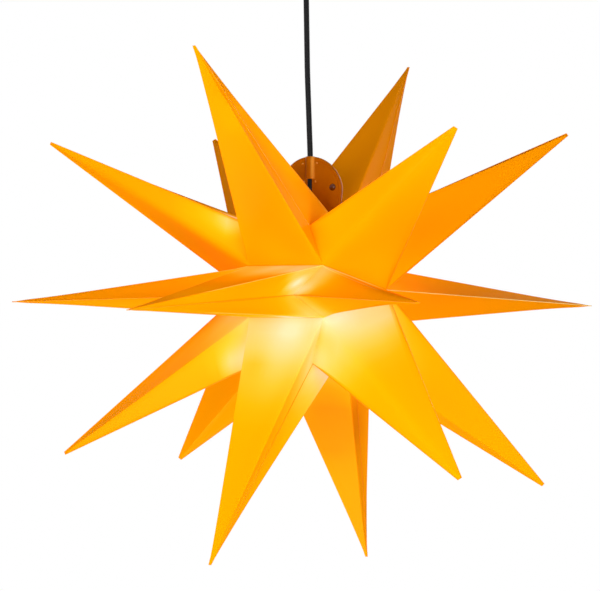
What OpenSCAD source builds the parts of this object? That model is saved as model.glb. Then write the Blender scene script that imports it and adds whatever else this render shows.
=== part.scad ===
// Hanging star with eighteen points, folded from twelve plastic sheets, with its
// lamp, its cable and its ceiling rose. Millimetres, +Z up, origin on the ceiling
// in line with the cable. The star's own frame has X along its fold axis.

/* [Star] */
// Height of the star's centre below the ceiling
drop = 330; // [322:1:420]
// Turn of the fold axis about the vertical, in degrees
star_turn = -29.5; // [-60:0.5:60]
// Lean of the fold axis out of level, in degrees
star_lean = -1.2; // [-3:0.1:3]
// Reach of the six belt points from the centre
belt_reach = 291; // [250:1:310]
// Reach of the twelve side points from the centre
side_reach = 278; // [240:1:300]
// Angle of the side points away from the belt, in degrees
side_lat = 46; // [43:0.5:49]
// Distance of each pole from the centre, along the fold axis
pole_x = 76; // [70:1:84]
// Radius of the valley corners between two gores
valley_r = 57; // [56:0.5:64]
// Distance of the valley corners from the belt
valley_x = 39; // [34:0.5:44]
// Distance of the open seam's corners from the belt
seam_x = 34; // [33:0.5:40]
// Radius of the notch corners in the middle of a gore
notch_r = 84; // [80:1:92]
// Distance of the notch corners from the belt
notch_x = 28; // [24:1:32]

/* [Gores] */
// Direction of the first gore round the fold axis, in degrees
gore_1 = -2.5; // [-5:0.5:0]
// Angle from the first gore to the second, in degrees
step_12 = 46; // [40:0.5:52]
// Angle from the second gore to the third, across the open seam
step_23 = 84.5; // [78:0.5:90]
// Angle from the third gore to the fourth
step_34 = 57.5; // [52:0.5:63]
// Angle from the fourth gore to the fifth
step_45 = 62; // [56:0.5:68]
// Angle from the fifth gore to the sixth
step_56 = 61; // [55:0.5:67]
// Place of the first valley, as a share of the way from gore one to gore two
valley_12 = 0.565; // [0.47:0.005:0.6]
// Place of the open seam between gores two and three
valley_23 = 0.521; // [0.48:0.001:0.55]
// Place of the valley between gores three and four
valley_34 = 0.504; // [0.45:0.001:0.55]
// Place of the valley between gores four and five
valley_45 = 0.508; // [0.45:0.001:0.55]
// Place of the valley between gores five and six
valley_56 = 0.5; // [0.45:0.001:0.55]
// Place of the valley between gores six and one
valley_61 = 0.531; // [0.45:0.001:0.57]
// Lean of the first gore along the fold axis, in degrees
lean_1 = -0.5; // [-3:0.5:3]
// Lean of the second gore
lean_2 = 1.5; // [-3:0.5:3]
// Lean of the third gore
lean_3 = 3; // [-3:0.5:4]
// Lean of the fourth gore
lean_4 = 2.5; // [-3:0.5:4]
// Lean of the fifth gore
lean_5 = -0.5; // [-3:0.5:3]
// Lean of the sixth gore
lean_6 = 0; // [-3:0.5:3]

/* [Sheet] */
// Thickness of the plastic sheet
sheet_t = 0.5; // [0.4:0.05:0.7]
// How far past its blunt end the faces of a point would meet
tip_over = 14; // [10:1:18]
// Length of the flat weld from the blunt end to the start of the crease
tip_flat = 14; // [10:1:20]

/* [Seam plates] */
// Place of the cable along the fold axis
cable_x = -1; // [-8:0.5:4]
// Height of the plates' round top above the star's centre
plate_top = 125; // [118:1:140]
// Radius of the plates' round top
plate_r = 32; // [28:0.5:34]
// Thickness of each plate
plate_t = 1.2; // [0.8:0.1:1.6]
// Length of the foot that lies on the sheet
foot_l = 12; // [8:1:18]
// Outer radius of the cable channel
channel_r = 4.6; // [4.2:0.1:6]
// Length of the cable channel
channel_l = 21; // [14:1:26]
// Radius of the heads of the large rivets
rivet_head_r = 3.2; // [2.6:0.1:4]
// Radius of the shanks of the large rivets
rivet_r = 1.6; // [1.2:0.1:2]
// Distance of the large rivets from the cable
rivet_dx = 23.7; // [20:0.1:25]
// Distance of the large rivets below the round top
rivet_drop = 29.5; // [26:0.5:34]
// Radius of the shanks of the snap pins
snap_r = 0.7; // [0.5:0.1:1]
// Radius of the heads of the snap pins
snap_head_r = 1.1; // [1:0.1:1.5]
// Distance of the upper snap pins from the cable
snap_dx = 7.6; // [7:0.1:9]
// Distance of the upper snap pins below the round top
snap_drop = 6.5; // [5:0.5:9]

/* [Cable] */
// Diameter of the cable
cable_d = 5.3; // [5:0.1:5.8]
// Clearance round the cable where it is held
cable_gap = 0.3; // [0.15:0.05:0.5]
// Diameter of an insulated conductor
core_d = 2; // [1.8:0.1:2.2]
// Distance between the two conductors
core_pitch = 2.5; // [2.3:0.1:3]

/* [Ceiling rose] */
// Radius of the cup at the ceiling
cup_r = 38; // [36:1:46]
// Radius of the cup's flat bottom
cup_bottom_r = 27; // [24:1:32]
// Height of the cup
cup_h = 30; // [28:1:36]
// Wall of the cup
cup_wall = 1.8; // [1.4:0.1:2.4]
// Width of the bracket
bracket_w = 14; // [12:1:18]
// Thickness of the bracket
bracket_t = 2; // [1.6:0.1:2.5]
// Distance between the bracket's two ceiling holes
bracket_holes = 44; // [40:1:46]
// Radius of the ceiling holes
bracket_hole_r = 2.2; // [2:0.1:2.6]
// Height of the bracket's turned-down ends
bracket_leg = 12; // [11:0.5:14]
// Radius of the side screws
side_screw_r = 1.5; // [1.2:0.1:1.8]
// Radius of the cord grip's collar
grip_r = 9.5; // [9:0.5:12]
// Length of the collar below the cup
grip_l = 20; // [18:1:24]
// Radius of the cord grip's threaded neck
neck_r = 5; // [4.6:0.1:6]
// Height of the lock nut
nut_h = 4; // [3:0.5:5]

/* [Lamp holder] */
// Height of the holder's top above the star's centre
holder_top = 52.5; // [50:0.5:53]
// Radius of the holder's body
holder_r = 14; // [13.5:0.5:16]
// Height of the holder's cap
holder_cap_h = 12; // [10:0.5:14]
// Height of the holder's body
holder_body_h = 31.5; // [30:0.5:34]
// Wall of the holder
holder_wall = 1.6; // [1.2:0.1:2]
// Inner radius of the threaded shell
shell_r = 7; // [6.95:0.01:7.05]
// Thickness of the threaded shell
shell_t = 0.4; // [0.3:0.05:0.6]
// Length of the threaded shell
shell_l = 22; // [20:0.5:23]

/* [Bulb] */
// Radius of the bulb's screw cap
bulb_cap_r = 6.8; // [6.7:0.01:6.85]
// Length of the bulb's screw cap
bulb_cap_l = 17; // [15:0.5:18]
// Radius of the bulb's globe
globe_r = 22.5; // [20:0.5:22.5]
// Distance from the holder's mouth to the globe's centre
globe_drop = 27; // [25:0.5:27.5]
// Wall of the bulb's globe and housing
bulb_wall = 1.2; // [0.8:0.1:1.6]
// Number of light-emitting chips
chips = 8; // [5:1:10]

/* [Hidden] */
$fn = 64;
// how much longer a step toward the centre is than a step through the sheet
BASE_STEP = 3;
TIP_STEP = 9;
film = 0.05;
fit = 0.1;
cable_r = cable_d / 2;
bore_r = cable_r + cable_gap;

// directions of the gores, and of the valleys between each and the next
function sum_to(v, i) = i < 0 ? 0 : v[i] + sum_to(v, i - 1);
steps_on = [step_12, step_23, step_34, step_45, step_56];
step = concat(steps_on, [360 - sum_to(steps_on, len(steps_on) - 1)]);
share = [valley_12, valley_23, valley_34, valley_45, valley_56, valley_61];
gore = [for (i = [0 : 5]) gore_1 + sum_to(steps_on, i - 1)];
valley = [for (i = [0 : 5]) gore[i] + share[i] * step[i]];
lean = [lean_1, lean_2, lean_3, lean_4, lean_5, lean_6];
seam_y = -valley_r * cos(valley[1]);
seam_z = valley_r * sin(valley[1]);

// the cable bends about this point in the mouth of the cord grip
flex_z = -(cup_h + grip_l - 6);
grip_screw_z = -cup_h - 6;
flex_r = cable_r;
flex_gap = flex_r + cable_gap;
mouth_slope = 0.58;
// how far the sheath reaches into the cup, and into the holder's cap
sheath_in = 11;
holder_in = 3;

amber = [1, 0.66, 0.04];
deep_amber = [0.85, 0.42, 0.03];
black = [0.05, 0.05, 0.05];
steel = [0.75, 0.76, 0.78];
brass = [0.85, 0.7, 0.35];
white = [0.95, 0.95, 0.93];
copper = [0.6, 0.3, 0.15];
blue = [0.15, 0.3, 0.6];

// Directions and corners in the star's own frame
function aim(lat, lon) = [sin(lat), -cos(lat) * cos(lon), cos(lat) * sin(lon)];
function corner(x, r, lon) = [x, -r * cos(lon), r * sin(lon)];
function toward(a, b, k) = a + (b - a) * k;
// where the edge from the sharp tip q to p passes a plane across d, depth in from q
function cut_at(q, p, d, depth) = toward(q, p, depth / ((q - p) * d));
function sink(p, step) = p * (1 - step / norm(p));

// Outer corners of one half sheet of gore g, on its side toward valley v
function sheet_corners(g, v, vx) =
  let (
    north = [pole_x, 0, 0],
    south = [-pole_x, 0, 0],
    v_n = corner(vx, valley_r, valley[v]),
    v_s = corner(-vx, valley_r, valley[v]),
    swing = notch_r * tan(lean[g]),
    m_n = corner(notch_x + swing, notch_r, gore[g]),
    m_s = corner(-notch_x + swing, notch_r, gore[g]),
    d_n = aim(side_lat + lean[g], gore[g]),
    d_b = aim(lean[g], gore[g]),
    d_s = aim(-side_lat + lean[g], gore[g]),
    q_n = d_n * (side_reach + tip_over),
    q_b = d_b * (belt_reach + tip_over),
    q_s = d_s * (side_reach + tip_over),
    deep = tip_over + tip_flat
  )
  [
    north,
    cut_at(q_n, north, d_n, tip_over), cut_at(q_n, m_n, d_n, tip_over),
    m_n,
    cut_at(q_b, m_n, d_b, tip_over), cut_at(q_b, m_s, d_b, tip_over),
    m_s,
    cut_at(q_s, m_s, d_s, tip_over), cut_at(q_s, south, d_s, tip_over),
    south,
    v_s, v_n,
    cut_at(q_n, v_n, d_n, deep), cut_at(q_b, v_n, d_b, deep),
    cut_at(q_b, v_s, d_b, deep), cut_at(q_s, v_s, d_s, deep)
  ];

// Steps toward the centre that give the sheet its thickness, in the same order
sheet_steps = sheet_t * [
  BASE_STEP, TIP_STEP, TIP_STEP, BASE_STEP, TIP_STEP, TIP_STEP, BASE_STEP, TIP_STEP,
  TIP_STEP, BASE_STEP, BASE_STEP, BASE_STEP, TIP_STEP, TIP_STEP, TIP_STEP, TIP_STEP
];
// The facets between those corners, and the edge that runs round them
sheet_facets = [
  [0, 1, 12], [0, 12, 11], [1, 2, 12], [2, 3, 12], [3, 11, 12],
  [3, 4, 13], [3, 13, 11], [4, 5, 13], [5, 14, 13], [13, 14, 10], [13, 10, 11],
  [5, 6, 14], [6, 10, 14],
  [6, 7, 15], [6, 15, 10], [7, 8, 15], [8, 9, 15], [9, 10, 15]
];
sheet_rim = [0, 1, 2, 3, 4, 5, 6, 7, 8, 9, 10, 11];

function flip(f) = [for (i = [len(f) - 1 : -1 : 0]) f[i]];

// A half sheet: side is 1 toward the next gore and -1 toward the last one
module half_sheet(g, side) {
  v = side > 0 ? g : (g + 5) % 6;
  outer = sheet_corners(g, v, v == 1 ? seam_x : valley_x);
  n = len(outer);
  inner = [for (i = [0 : n - 1]) sink(outer[i], sheet_steps[i])];
  rim = len(sheet_rim);
  walls = [for (i = [0 : rim - 1])
    let (a = sheet_rim[i], b = sheet_rim[(i + 1) % rim]) [b, a, a + n, b + n]];
  skins = concat(
    sheet_facets,
    [for (f = sheet_facets) flip([for (i = f) i + n])],
    walls
  );
  polyhedron(
    concat(outer, inner),
    side > 0 ? skins : [for (f = skins) flip(f)],
    convexity = 6
  );
}

// Puts the star's own frame under the ceiling, with the cable plumb
module hang() {
  top = [cable_x, seam_y, plate_top];
  turned = [
    top[0] * cos(star_lean) - top[2] * sin(star_lean),
    top[1],
    top[0] * sin(star_lean) + top[2] * cos(star_lean)
  ];
  translate([0, 0, -drop]) rotate([0, 0, star_turn])
    translate([-turned[0], -turned[1], 0]) rotate([0, -star_lean, 0]) children();
}

// Moves to the cable's line in the star's own frame
module on_cable() {
  translate([cable_x, seam_y, 0]) children();
}

module star_sheet(g, side) {
  seamed = (g == 1 && side > 0) || (g == 2 && side < 0);
  color(amber) hang() difference() {
    half_sheet(g, side);
    if (seamed) on_cable() translate([0, 0, seam_z - foot_l])
      cylinder(h = 2 * foot_l, r = bore_r);
  }
}

// A tube swept along points that rise or fall steadily
function tube_points(route, r, sides) = [
  for (i = [0 : len(route) - 1]) for (j = [0 : sides - 1])
    route[i] + [r * cos(360 * j / sides), r * sin(360 * j / sides), 0]
];
module tube(route, r, sides = 12) {
  n = len(route);
  polyhedron(
    tube_points(route, r, sides),
    concat(
      [[for (j = [0 : sides - 1]) j]],
      [for (i = [0 : n - 2]) for (j = [0 : sides - 1])
        let (k = (j + 1) % sides)
        [i * sides + j, (i + 1) * sides + j, (i + 1) * sides + k, i * sides + k]],
      [[for (j = [sides - 1 : -1 : 0]) (n - 1) * sides + j]]
    ),
    convexity = 2
  );
}

// The free cable's way down from the cord grip to the seam plates. The share is of
// its height, and the middle column is how far it bows sideways.
cable_way = [
  [0, 0], [0.05, 0], [0.12, -0.1], [0.19, -0.2], [0.26, -0.3], [0.33, -0.4],
  [0.4, -0.5], [0.47, -0.6], [0.54, -0.6], [0.61, -0.5], [0.68, -0.4],
  [0.75, -0.3], [0.82, -0.2], [0.89, -0.1], [0.95, 0], [1, 0]
];
cable_hi = flex_z - flex_gap;
cable_lo = -drop + plate_top + cable_x * sin(star_lean) + cable_gap;

module pendant_cable() {
  color(black) tube([for (p = cable_way)
    [p[1], 0, cable_hi + (cable_lo - cable_hi) * p[0]]], cable_r);
}

module cable_flex() {
  color(black) translate([0, 0, flex_z]) sphere(r = flex_r, $fn = 24);
}

module cable_tail() {
  rings = 8;
  top = plate_top;
  bottom = holder_top - holder_in;
  color(black) hang() on_cable()
    tube([for (i = [0 : rings]) [0, 0, top + (bottom - top) * i / rings]], cable_r);
}

module cable_ceiling_end() {
  bottom = flex_z + flex_gap;
  top = -cup_h + sheath_in;
  rings = 5;
  color(black)
    tube([for (i = [0 : rings]) [0, 0, bottom + (top - bottom) * i / rings]], cable_r);
}

// Seam plates. Their slope follows the middle facet of the gore that they lie on.
function facet_slope(g) =
  let (q = aim(lean[g], gore[g]) * (belt_reach + tip_over))
  atan2(q[2] - seam_z, abs(q[1] - seam_y));

plate_mid_z = plate_top - plate_r;
wide = plate_r + seam_x + foot_l;
plate_base = seam_x - 3;

module plate_outline() {
  difference() {
    union() {
      translate([cable_x, plate_mid_z]) circle(r = plate_r);
      polygon([
        [-plate_base, seam_z - 1],
        [cable_x - plate_r * cos(15), plate_mid_z + plate_r * sin(15)],
        [cable_x + plate_r * cos(20), plate_mid_z + plate_r * sin(20)],
        [plate_base, seam_z - 1]
      ]);
    }
    translate([cable_x - wide, seam_z - wide]) square([2 * wide, wide]);
  }
}

// Section of a plate and its foot, away from the seam, with the seam at the origin
module plate_section(slope) {
  up = plate_top - seam_z + 1;
  low = (film / cos(slope));
  foot = [foot_l * cos(slope), foot_l * sin(slope)];
  lift = [-sin(slope), cos(slope)];
  end_low = foot + lift * film;
  end_high = foot + lift * (film + plate_t);
  bend = low + plate_t / cos(slope) + plate_t * tan(slope);
  polygon([[0, low], end_low, end_high, [plate_t, bend], [plate_t, up], [0, up]]);
}

module rivet_places() {
  for (s = [-1, 1]) translate([cable_x + s * rivet_dx, 0, plate_top - rivet_drop])
    children();
}

module snap_places() {
  for (s = [-1, 1]) {
    translate([cable_x + s * snap_dx, 0, plate_top - snap_drop]) children();
    translate([cable_x + s * (channel_r + 1.2), 0, plate_top - channel_l - 2.5])
      children();
  }
}

// One plate; back is 0 for the front one and 1 for the rear one
module seam_plate(g, back) {
  slope = facet_slope(g);
  half = back == 0 ? -1 : 1;
  difference() {
    union() {
      intersection() {
        translate([cable_x - wide, seam_y, seam_z]) rotate([90, 0, 90])
          mirror([back == 0 ? 1 : 0, 0]) linear_extrude(height = 2 * wide)
            plate_section(slope);
        translate([0, wide, 0]) rotate([90, 0, 0]) linear_extrude(height = 2 * wide)
          plate_outline();
      }
      on_cable() intersection() {
        translate([0, 0, plate_top - channel_l]) cylinder(h = channel_l, r = channel_r);
        translate([-channel_r, half > 0 ? 0 : -channel_r, 0])
          cube([2 * channel_r, channel_r, plate_top]);
      }
    }
    on_cable() translate([0, 0, seam_z - 10])
      cylinder(h = plate_top - seam_z + 20, r = bore_r);
    rivet_places() rotate([90, 0, 0])
      cylinder(h = wide, r = rivet_r + fit, center = true, $fn = 24);
    snap_places() rotate([90, 0, 0])
      cylinder(h = wide, r = snap_r + fit, center = true, $fn = 24);
  }
}

module front_seam_plate() color(deep_amber) hang() seam_plate(1, 0);
module rear_seam_plate() color(deep_amber) hang() seam_plate(2, 1);

// A rivet along Y with a domed head on each face of the plates
module rivet(r, head_r, head_h) {
  rotate([90, 0, 0]) rotate_extrude($fn = 32) polygon(concat(
    [[0, -plate_t - film - head_h]],
    [for (a = [90 : -18 : 0])
      [head_r * cos(a), -plate_t - film - head_h * sin(a)]],
    [[r, -plate_t - film], [r, plate_t + film]],
    [for (a = [0 : 18 : 90])
      [head_r * cos(a), plate_t + film + head_h * sin(a)]]
  ));
}

module seam_rivets() {
  color(deep_amber) hang() translate([0, seam_y, 0])
    rivet_places() rivet(rivet_r, rivet_head_r, 1.6);
}

module seam_snap_pins() {
  color(amber) hang() translate([0, seam_y, 0])
    snap_places() rivet(snap_r, snap_head_r, 0.7);
}

// Ceiling rose
cup_floor = -cup_h + cup_wall;
leg_z = -bracket_leg + 4;
leg_out = cup_r - cup_wall - 3;

module cup_profile(grow) {
  r_top = cup_r - grow;
  r_low = cup_bottom_r - grow;
  round_r = 9 - grow;
  hull() {
    translate([0, -0.01]) square([r_top, 0.01]);
    translate([0, -cup_h * 0.45]) square([r_top - 1.5, 0.01]);
    translate([0, -cup_h + grow]) square([r_low, 0.01]);
    translate([r_low + 3 - 0.01, -cup_h + grow + round_r]) circle(r = round_r - 3, $fn = 32);
  }
}

module ceiling_cup() {
  color(black) difference() {
    rotate_extrude($fn = 96) intersection() {
      cup_profile(0);
      translate([0, -cup_h]) square([cup_r, cup_h]);
    }
    rotate_extrude($fn = 96) intersection() {
      cup_profile(cup_wall);
      translate([0, -cup_h + cup_wall]) square([cup_r, cup_h]);
    }
    translate([0, 0, -cup_wall]) cylinder(h = 2 * cup_wall, r = cup_r - cup_wall);
    translate([0, 0, -cup_h - 1]) cylinder(h = cup_wall + 2, r = neck_r + fit);
    translate([0, 0, leg_z]) rotate([0, 90, 0])
      cylinder(h = 3 * cup_r, r = side_screw_r + fit, center = true, $fn = 24);
  }
}

module ceiling_bracket() {
  color(steel) difference() {
    union() {
      translate([-leg_out, -bracket_w / 2, -bracket_t])
        cube([2 * leg_out, bracket_w, bracket_t]);
      for (s = [0, 1]) mirror([s, 0, 0])
        translate([leg_out - bracket_t, -bracket_w / 2, -bracket_leg])
          cube([bracket_t, bracket_w, bracket_leg]);
    }
    for (s = [-1, 1]) translate([s * bracket_holes / 2, 0, -bracket_t - 1])
      cylinder(h = bracket_t + 2, r = bracket_hole_r, $fn = 32);
    translate([0, 0, leg_z]) rotate([0, 90, 0])
      cylinder(h = 3 * cup_r, r = side_screw_r + fit, center = true, $fn = 24);
  }
}

module cup_side_screws() {
  head_x = cup_r + film;
  color(steel) for (s = [0, 1]) mirror([s, 0, 0]) translate([0, 0, leg_z])
    rotate([0, 90, 0]) {
      translate([0, 0, leg_out - bracket_t - 2])
        cylinder(h = head_x - leg_out + bracket_t + 2, r = side_screw_r, $fn = 24);
      translate([0, 0, head_x]) cylinder(h = 1.6, r1 = 2 * side_screw_r,
        r2 = 1.5 * side_screw_r, $fn = 24);
    }
}

block = [20, 12, 9];
block_top = -bracket_t - film;
terminal_dx = 4.5;
terminal_dy = 3.5;
terminal_r = 1.5;
terminal_z = block_top - 0.55 * block[2];

module terminal_block() {
  color(white) difference() {
    translate([-block[0] / 2, -block[1] / 2, block_top - block[2]]) cube(block);
    for (s = [-1, 1]) translate([s * terminal_dx, 0, terminal_z]) rotate([90, 0, 0])
      cylinder(h = 2 * block[1], r = core_d / 2 + fit, center = true, $fn = 24);
    for (s = [-1, 1]) for (t = [-1, 1])
      translate([s * terminal_dx, t * terminal_dy, block_top - block[2] - 1])
        cylinder(h = 0.45 * block[2], r = terminal_r + fit, $fn = 24);
  }
}

module terminal_screws() {
  color(brass) for (s = [-1, 1]) for (t = [-1, 1])
    translate([s * terminal_dx, t * terminal_dy, block_top - block[2] + 0.2])
      cylinder(h = 0.45 * block[2] - 1.3, r = terminal_r, $fn = 24);
}

// From the end of the sheath, round and into the terminals
module rose_conductors() {
  z0 = -cup_h + sheath_in + core_d / 2 + film;
  face_y = block[1] / 2;
  for (s = [-1, 1]) color(s > 0 ? copper : blue) bend(core_d / 2, [
    [s * core_pitch / 2, 0, z0], [s * 3, face_y + 0.5, z0 + 3],
    [s * terminal_dx, face_y + 3.5, terminal_z], [s * terminal_dx, face_y - 1.5, terminal_z]
  ]);
}

// The two conductors from the cable's end to the insert in the holder
module holder_conductors() {
  z0 = holder_top - holder_in - core_d / 2 - film;
  hang() on_cable() for (s = [-1, 1]) color(s > 0 ? copper : blue)
    bend(core_d / 2, [
      [s * core_pitch / 2, 0, z0], [s * core_pitch / 2, 0, z0 - 1.5], [s * 5, 0, z0 - 5],
      [s * 7, 0, holder_split + core_d / 2 + film - 0.4]
    ]);
}

// A short round wire through a few points
module bend(r, way) {
  for (i = [0 : len(way) - 2]) hull() {
    translate(way[i]) sphere(r = r, $fn = 8);
    translate(way[i + 1]) sphere(r = r, $fn = 8);
  }
}

module cord_grip() {
  top = cup_floor + nut_h + 2;
  mouth = -cup_h - grip_l;
  color(black) difference() {
    union() {
      translate([0, 0, -cup_h - film]) cylinder(h = top + cup_h + film, r = neck_r);
      rotate_extrude() polygon([
        [0, -cup_h - film], [grip_r, -cup_h - film], [grip_r, mouth + 3],
        [grip_r - 0.8, mouth + 0.8], [grip_r - 2, mouth], [0, mouth]
      ]);
    }
    translate([0, 0, flex_z]) cylinder(h = -flex_z, r = bore_r);
    translate([0, 0, mouth - 0.01]) cylinder(h = flex_z - mouth + 0.02,
      r1 = flex_r + 0.6 + (flex_z - mouth) * mouth_slope, r2 = flex_r + 0.6);
    translate([0, 0, grip_screw_z]) rotate([0, 90, 0])
      cylinder(h = grip_r + 1, r = terminal_r + fit, $fn = 24);
  }
}

module cord_grip_nut() {
  color(steel) translate([0, 0, cup_floor + film]) difference() {
    cylinder(h = nut_h, r = neck_r + 3.2, $fn = 6);
    translate([0, 0, -1]) cylinder(h = nut_h + 2, r = neck_r + film);
  }
}

module cord_grip_screw() {
  color(white) translate([0, 0, grip_screw_z]) rotate([0, 90, 0])
    translate([0, 0, cable_r + film])
      cylinder(h = grip_r - cable_r - 0.6, r = terminal_r, $fn = 24);
}

// Lamp holder, on the cable's line in the star
holder_split = holder_top - holder_cap_h;
holder_mouth = holder_split - holder_body_h;
shell_top = holder_mouth + 1 + shell_l;
clamp_r = 1.2;
clamp_z = holder_top - 2.8;

module holder_cap() {
  color(black) hang() on_cable() difference() {
    rotate_extrude() polygon([
      [bore_r, holder_top], [6, holder_top], [7.5, holder_top - 1.5],
      [7.5, holder_top - 4], [holder_r - 1.5, holder_split + 3.5],
      [holder_r, holder_split + 1.5], [holder_r, holder_split + film],
      [holder_r - holder_wall, holder_split + film],
      [holder_r - holder_wall - 1, holder_split + 2.5],
      [bore_r + 1.5, holder_top - 5], [bore_r, holder_top - 5]
    ]);
    translate([0, 0, clamp_z]) rotate([0, 90, 0])
      cylinder(h = 9, r = clamp_r + fit, $fn = 24);
  }
}

module holder_body() {
  r_in = shell_r + shell_t + fit;
  color(black) hang() on_cable() difference() {
    rotate_extrude() polygon([
      [r_in, holder_mouth], [holder_r - 1.2, holder_mouth],
      [holder_r - 0.4, holder_mouth + 1.2], [holder_r, holder_split - 8],
      [holder_r, holder_split], [holder_r - holder_wall, holder_split],
      [holder_r - holder_wall, shell_top + 0.5], [r_in, shell_top + 0.5]
    ]);
    for (a = [0 : 15 : 345]) rotate([0, 0, a])
      translate([holder_r + 0.25, 0, holder_mouth + 4])
        cylinder(h = 14, r = 0.7, $fn = 16);
  }
}

module holder_insert() {
  color(white) hang() on_cable() difference() {
    translate([0, 0, shell_top + 0.5 + film])
      cylinder(h = holder_split - shell_top - 1, r = holder_r - holder_wall - fit);
    cylinder(h = 3 * holder_top, r = 1.6, $fn = 24);
  }
}

module holder_shell() {
  color(brass) hang() on_cable() difference() {
    translate([0, 0, shell_top - shell_l]) cylinder(h = shell_l, r = shell_r + shell_t);
    translate([0, 0, shell_top - shell_l - 1]) cylinder(h = shell_l + 2, r = shell_r);
  }
}

// A sprung tongue under the insert that the bulb's foot presses on
module holder_contact() {
  z = shell_top + 0.5;
  color(brass) hang() on_cable() {
    translate([0, 0, z - shell_t]) cylinder(h = shell_t, r = 4.5, $fn = 32);
    translate([0, 0, z - 1.5]) cylinder(h = 1.5, r = 1.5, $fn = 32);
  }
}

module holder_clamp_screw() {
  color(steel) hang() on_cable() translate([0, 0, clamp_z])
    rotate([0, 90, 0]) translate([0, 0, cable_r + film])
      cylinder(h = 8 - cable_r, r = clamp_r, $fn = 24);
}

// Bulb, hanging mouth down with its foot against the holder's contact
foot_top = shell_top - 1 - film;
cap_top = foot_top - 4;
cap_low = cap_top - bulb_cap_l;
collar_z = holder_mouth - 0.5;
globe_z = holder_mouth - globe_drop;
globe_lip = 9;
board_z = globe_z + globe_lip;
board_r = sqrt(pow(globe_r, 2) - pow(globe_lip, 2)) - bulb_wall - 0.8;
board_t = 1;

module bulb_foot_contact() {
  color(brass) hang() on_cable() translate([0, 0, foot_top - 1.6])
    cylinder(h = 1.6, r1 = 3, r2 = 2, $fn = 32);
}

module bulb_insulator() {
  color(black) hang() on_cable() rotate_extrude() polygon([
    [0, cap_top + film], [bulb_cap_r - 1.4, cap_top + film],
    [3.4, foot_top - 1.7], [0, foot_top - 1.7]
  ]);
}

module bulb_screw_cap() {
  color(steel) hang() on_cable() difference() {
    rotate_extrude() polygon([
      [0, cap_low], [bulb_cap_r, cap_low], [bulb_cap_r, cap_top - 1.4],
      [bulb_cap_r - 1.4, cap_top], [0, cap_top]
    ]);
    translate([0, 0, cap_low - 1])
      cylinder(h = bulb_cap_l - 0.5, r = bulb_cap_r - 0.5);
  }
}

module bulb_housing() {
  neck = bulb_cap_r - 0.6;
  ring_r = sqrt(pow(globe_r, 2) - pow(globe_lip, 2));
  color(white) hang() on_cable() rotate_extrude() polygon([
    [neck - bulb_wall, cap_low + 6], [neck, cap_low + 6], [neck, cap_low - film],
    [bulb_cap_r, cap_low - film], [bulb_cap_r, collar_z],
    [holder_r - 4, collar_z], [holder_r - 3, collar_z - 1],
    [ring_r - 6, board_z + 9], [ring_r - 2, board_z + 4], [ring_r, board_z + film],
    [ring_r - bulb_wall, board_z + film], [ring_r - 2 - bulb_wall, board_z + 3.5],
    [ring_r - 6 - bulb_wall, board_z + 8.4], [holder_r - 3 - bulb_wall, collar_z - 2],
    [neck - bulb_wall, collar_z - 2]
  ]);
}

module bulb_globe() {
  color(white) hang() on_cable() rotate_extrude() intersection() {
    difference() {
      translate([0, globe_z]) circle(r = globe_r, $fn = 96);
      translate([0, globe_z]) circle(r = globe_r - bulb_wall, $fn = 96);
    }
    translate([0, globe_z - 2 * globe_r]) square([2 * globe_r, 2 * globe_r + globe_lip]);
  }
}

module bulb_led_board() {
  color(steel) hang() on_cable() translate([0, 0, board_z + 0.1])
    cylinder(h = board_t, r = board_r);
}

module bulb_led_chips() {
  color([1, 0.85, 0.4]) hang() on_cable() for (i = [0 : chips - 1])
    rotate([0, 0, 360 * i / chips]) translate([board_r * 0.6, 0, board_z - 0.8 + 0.45])
      cube([2.8, 2.8, 0.8], center = true);
}

module bulb_driver() {
  color([0.1, 0.35, 0.15]) hang() on_cable()
    translate([-3.8, -0.8, board_z + 0.1 + board_t + film])
      cube([7.6, 1.6, collar_z - board_z]);
}

ceiling_cup();
ceiling_bracket();
cup_side_screws();
terminal_block();
terminal_screws();
rose_conductors();
cord_grip();
cord_grip_nut();
cord_grip_screw();
cable_ceiling_end();
cable_flex();
pendant_cable();
cable_tail();
front_seam_plate();
rear_seam_plate();
seam_rivets();
seam_snap_pins();
star_sheet(0, -1);  // star_sheet_01
star_sheet(0, 1);  // star_sheet_02
star_sheet(1, -1);  // star_sheet_03
star_sheet(1, 1);  // star_sheet_04
star_sheet(2, -1);  // star_sheet_05
star_sheet(2, 1);  // star_sheet_06
star_sheet(3, -1);  // star_sheet_07
star_sheet(3, 1);  // star_sheet_08
star_sheet(4, -1);  // star_sheet_09
star_sheet(4, 1);  // star_sheet_10
star_sheet(5, -1);  // star_sheet_11
star_sheet(5, 1);  // star_sheet_12
holder_cap();
holder_body();
holder_insert();
holder_shell();
holder_contact();
holder_clamp_screw();
holder_conductors();
bulb_screw_cap();
bulb_insulator();
bulb_foot_contact();
bulb_housing();
bulb_globe();
bulb_led_board();
bulb_led_chips();
bulb_driver();
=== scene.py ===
import math
import bmesh
import bpy
import numpy as np
from mathutils import Matrix, Vector
from mathutils.bvhtree import BVHTree


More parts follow.
